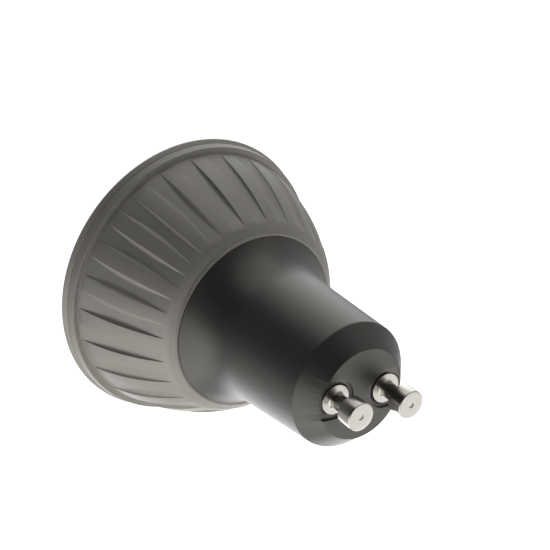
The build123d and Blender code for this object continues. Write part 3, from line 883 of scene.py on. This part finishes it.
half = floor_size / 2
sheet = bpy.data.meshes.new("floor")
sheet.from_pydata([(-half, -half, 0), (half, -half, 0), (half, half, 0), (-half, half, 0)],
                  [], [(0, 1, 2, 3)])
sheet.materials.append(white_floor())
floor = bpy.data.objects.new("floor", sheet)
bpy.context.collection.objects.link(floor)
for kind in ("diffuse", "glossy", "transmission", "shadow"):        # seen by the camera alone
    setattr(floor, f"visible_{kind}", False)
print("floor:", floor_size, "m")

# %% Studio light
VALUE_A, VALUE_B = 2, 3     # sockets of a float Mix node, by number
even_light = 0.7

# Each patch has its azimuth and elevation, the angle within which it is full and the angle
# beyond which it is gone, all in degrees. The last number of a dark patch is the share of the
# light that it takes away, and that of a bright patch is the light that it adds.
dark_patches = [
    (140, 24, 52, 72, -0.92),
    (132, -26, 50, 58, -0.7),
]
bright_patches = [
    (86, -14, 18, 36, 1.35),
    (227, 17, 34, 48, 2.1),
    (313, -6, 25, 35, 2.1),
    (290, -60, 20, 34, 3.0),
    (35, -58, 16, 34, 2.2),
    (320, 42, 16, 46, 1.15),
]


def soft_disc(tree, place, azimuth, elevation, inner, outer):
    """A socket that is 1 within inner degrees of a direction and falls smoothly to 0 at
    outer degrees: a smooth step on the dot product of both directions."""
    turn, rise = math.radians(azimuth), math.radians(elevation)
    towards = (math.cos(rise) * math.cos(turn), math.cos(rise) * math.sin(turn),
               math.sin(rise))
    dot = node(tree, "ShaderNodeVectorMath", {0: place, 1: towards}, operation="DOT_PRODUCT")
    step = node(tree, "ShaderNodeMapRange", {
        "Value": dot.outputs["Value"],
        "From Min": math.cos(math.radians(outer)),
        "From Max": math.cos(math.radians(inner)),
    }, interpolation_type="SMOOTHSTEP")
    return step.outputs[0]


def studio():
    """The world: even light times what each dark patch leaves, plus the bright patches. The
    camera and rays through clear plastic get a strength of 1 in place of all that."""
    sky = bpy.data.worlds.new("studio")
    sky.use_nodes = True
    tree = sky.node_tree
    tree.nodes.clear()
    place = node(tree, "ShaderNodeTexCoord").outputs["Generated"]
    light = even_light
    for *patch, depth in dark_patches:
        left = node(tree, "ShaderNodeMath",
                    {0: soft_disc(tree, place, *patch), 1: depth, 2: 1.0},
                    operation="MULTIPLY_ADD")
        light = node(tree, "ShaderNodeMath", {0: light, 1: left.outputs[0]},
                     operation="MULTIPLY").outputs[0]
    for *patch, gain in bright_patches:
        light = node(tree, "ShaderNodeMath",
                     {0: soft_disc(tree, place, *patch), 1: gain, 2: light},
                     operation="MULTIPLY_ADD").outputs[0]
    ray = node(tree, "ShaderNodeLightPath").outputs
    seen = node(tree, "ShaderNodeMath",
                {0: ray["Is Camera Ray"], 1: ray["Is Transmission Ray"]}, operation="MAXIMUM")
    strength = node(tree, "ShaderNodeMix",
                    {0: seen.outputs[0], VALUE_A: light, VALUE_B: 1.0}, data_type="FLOAT")
    shader = node(tree, "ShaderNodeBackground", {"Strength": strength.outputs[0]})
    node(tree, "ShaderNodeOutputWorld", {"Surface": shader.outputs[0]})
    return sky


bpy.context.scene.world = studio()
print("studio light:", len(dark_patches), "dark and", len(bright_patches), "bright patches")

# %% [markdown]
# ## Camera
#
# The camera looks at the lamp's end from above and behind, tilted on its side as in the
# photograph. It could be set by eye, but its place, its two side directions and its lens were
# worked out from the ellipses that the rim, the neck and the pins draw in the picture, so the
# render lies over the photograph.

# %% The photograph's camera
camera_place = (-176.99, 128.86, 246.11)    # mm
camera_right = Vector((0.8035, 0.1132, 0.5844))
camera_up = Vector((0.1452, 0.9148, -0.3769))
camera_lens = 122.95                        # mm, on a sensor of this width
sensor_width = 36.0
nearest = 0.01                              # metres: nothing closer than this is drawn

camera = bpy.data.objects.new("camera", bpy.data.cameras.new("camera"))
camera.data.lens = camera_lens
camera.data.sensor_width = sensor_width
camera_back = camera_right.cross(camera_up).normalized()
camera_up = camera_back.cross(camera_right).normalized()
turn = Matrix((camera_right.normalized(), camera_up, camera_back)).transposed()
camera.matrix_world = Matrix.Translation(Vector(camera_place) * MM) @ turn.to_4x4()
camera.data.clip_start = nearest
bpy.context.collection.objects.link(camera)
bpy.context.scene.camera = camera
bpy.context.scene.view_settings.view_transform = "Standard"
